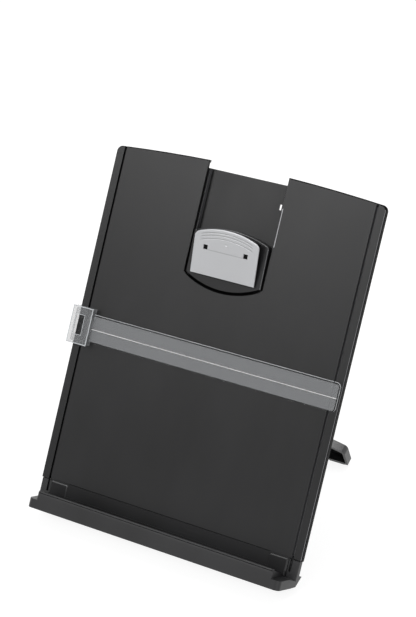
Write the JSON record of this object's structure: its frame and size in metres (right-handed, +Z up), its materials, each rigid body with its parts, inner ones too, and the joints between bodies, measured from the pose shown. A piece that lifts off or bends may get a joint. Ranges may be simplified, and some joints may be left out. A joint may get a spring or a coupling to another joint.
{
  "type": "copy holder with line guide",
  "caption": "Desk copy holder: leaning board with paper ledge, sprung clip on a sliding arm, clear line guide that slides along the left edge, and folding rear leg.",
  "frame": {"origin": "centre of the footprint's bounding box, on the desk", "axes": "+Z up, -Y towards the reader, +X to the reader's right; the board leans back 28.5 degrees towards +Y"},
  "size_m": [0.2426, 0.2076, 0.2774],
  "materials": {
    "board_plastic": "fine spark texture, black",
    "cover_plastic": "fine spark texture, black",
    "track_plastic": "smooth satin black",
    "ledge_plastic": "fine spark texture, black",
    "arm_plastic": "satin black",
    "lever_plastic": "satin black",
    "leg_plastic": "fine spark texture, black",
    "bracket_plastic": "satin black",
    "silver_paint": "satin silver paint",
    "clear_carrier": "clear polished plastic",
    "clear_blade": "clear polished plastic",
    "line_white": "white ink in a shallow groove",
    "screw_steel": "dark zinc plated",
    "pin_steel": "bright drawn wire",
    "spring_steel": "bright spring wire",
    "foot_rubber": "matte black rubber"
  },
  "bodies": {
    "board": {"front_panel": "board_plastic", "rear_cover": "cover_plastic", "cover_screws": "screw_steel", "arm_track": "track_plastic", "ledge": "ledge_plastic", "base_feet": "foot_rubber", "leg_bracket": "bracket_plastic", "bracket_screws": "screw_steel", "leg_hinge_pins": "pin_steel"},
    "arm": {"clip_arm": "arm_plastic", "clip_pivot_pin": "pin_steel", "clip_spring": "spring_steel", "jaw_pad": "foot_rubber", "arm_drag_spring": "spring_steel"},
    "lever": {"lever_body": "lever_plastic", "lever_plate": "silver_paint"},
    "guide": {"guide_carrier": "clear_carrier", "guide_ruler": "clear_blade", "guide_line": "line_white"},
    "stand": {"leg": "leg_plastic", "leg_feet": "foot_rubber"}
  },
  "joints": [
    {"name": "arm_slide", "type": "slide", "parent": "board", "child": "arm", "axis": [0, 0.4772, 0.8788], "range_m": [0, 0.164]},
    {"name": "clip_lever_hinge", "type": "hinge", "parent": "arm", "child": "lever", "pos_m": [0.0013, 0.0291, 0.21904], "axis": [-1, 0, 0], "range_deg": [0, 16], "stiffness_Nm_per_rad": 0.12, "springref_deg": -22.92, "deforming": ["clip_spring"]},
    {"name": "guide_slide", "type": "slide", "parent": "board", "child": "guide", "axis": [0, 0.4772, 0.8788], "range_m": [-0.112, 0.04]},
    {"name": "leg_fold", "type": "hinge", "parent": "board", "child": "stand", "pos_m": [0.0013, 0.0299, 0.18048], "axis": [-1, 0, 0], "range_deg": [0, 49.7]}
  ]
}
